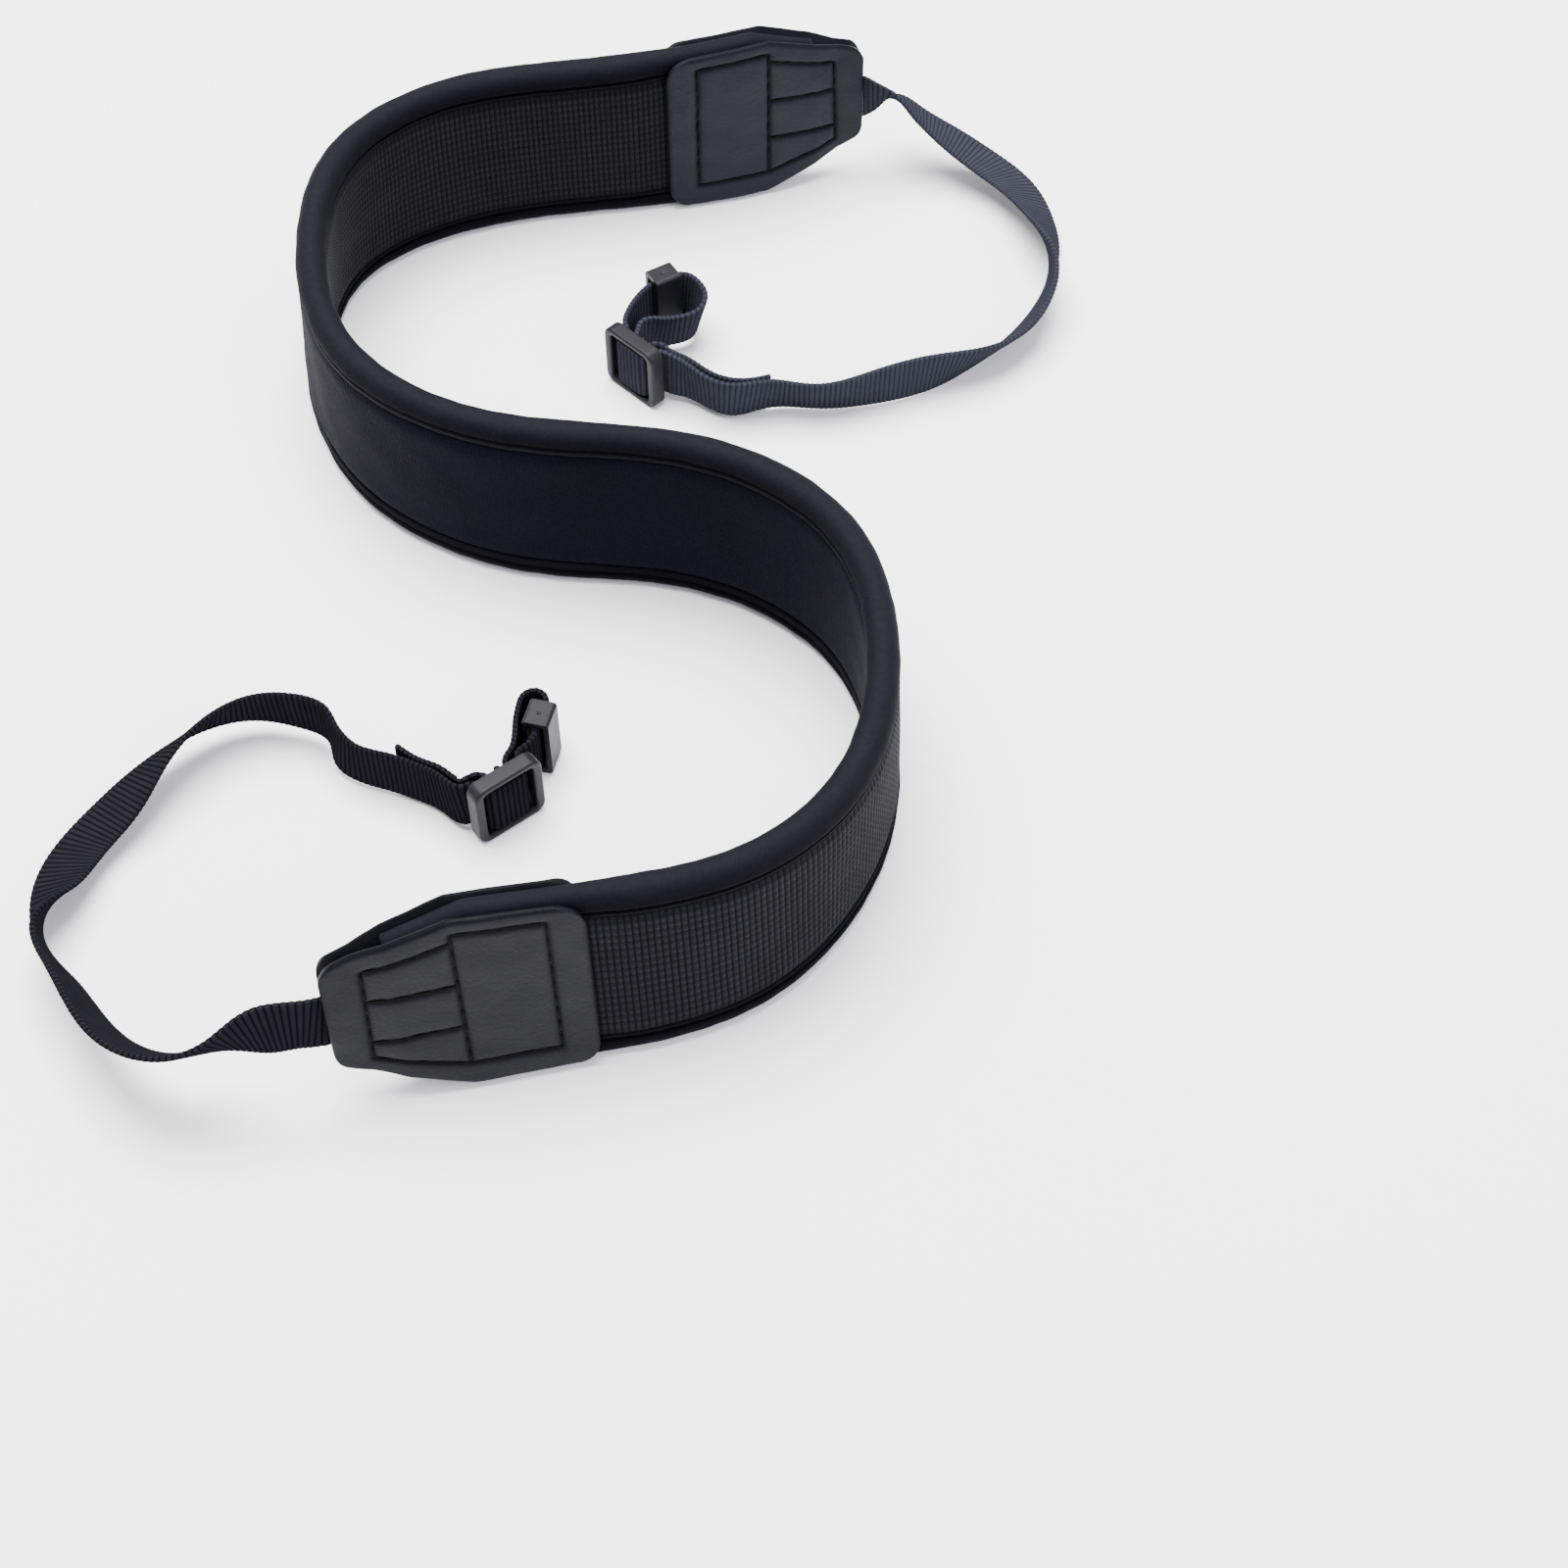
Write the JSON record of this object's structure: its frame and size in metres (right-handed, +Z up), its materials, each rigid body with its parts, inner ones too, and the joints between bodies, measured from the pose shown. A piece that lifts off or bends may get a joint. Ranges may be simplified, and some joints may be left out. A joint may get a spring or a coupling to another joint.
{
  "type": "camera neck strap",
  "caption": "Padded neck band standing in an S on its edge, with stitched end patches, webbing ends, three-bar sliders and small lug loops.",
  "frame": {"origin": "middle of the outline on the floor, at the band's lower edge", "axes": "+Z up from the floor, +Y from end b with its patch towards end a, +X to the right in the picture"},
  "size_m": [0.1774, 0.2306, 0.0379],
  "materials": {
    "neoprene_jersey": "black jersey laminated on foam",
    "ribbed_mesh": "charcoal ribbed polyester mesh",
    "edge_binding": "black stretch binding",
    "patch_leather": "dark grey fine-grained imitation leather",
    "nylon_webbing": "charcoal woven nylon with cross ribs",
    "moulded_plastic": "dark grey satin moulding"
  },
  "bodies": {
    "root": {"pad_core": "neoprene_jersey", "grip_mesh": "ribbed_mesh", "binding_upper": "edge_binding", "binding_lower": "edge_binding", "patch_a_grip_side": "patch_leather", "patch_a_smooth_side": "patch_leather", "patch_b_grip_side": "patch_leather", "patch_b_smooth_side": "patch_leather", "webbing_a": "nylon_webbing", "webbing_b": "nylon_webbing", "slider_a": "moulded_plastic", "slider_b": "moulded_plastic", "keeper_a": "moulded_plastic", "keeper_b": "moulded_plastic"}
  },
  "joints": []
}
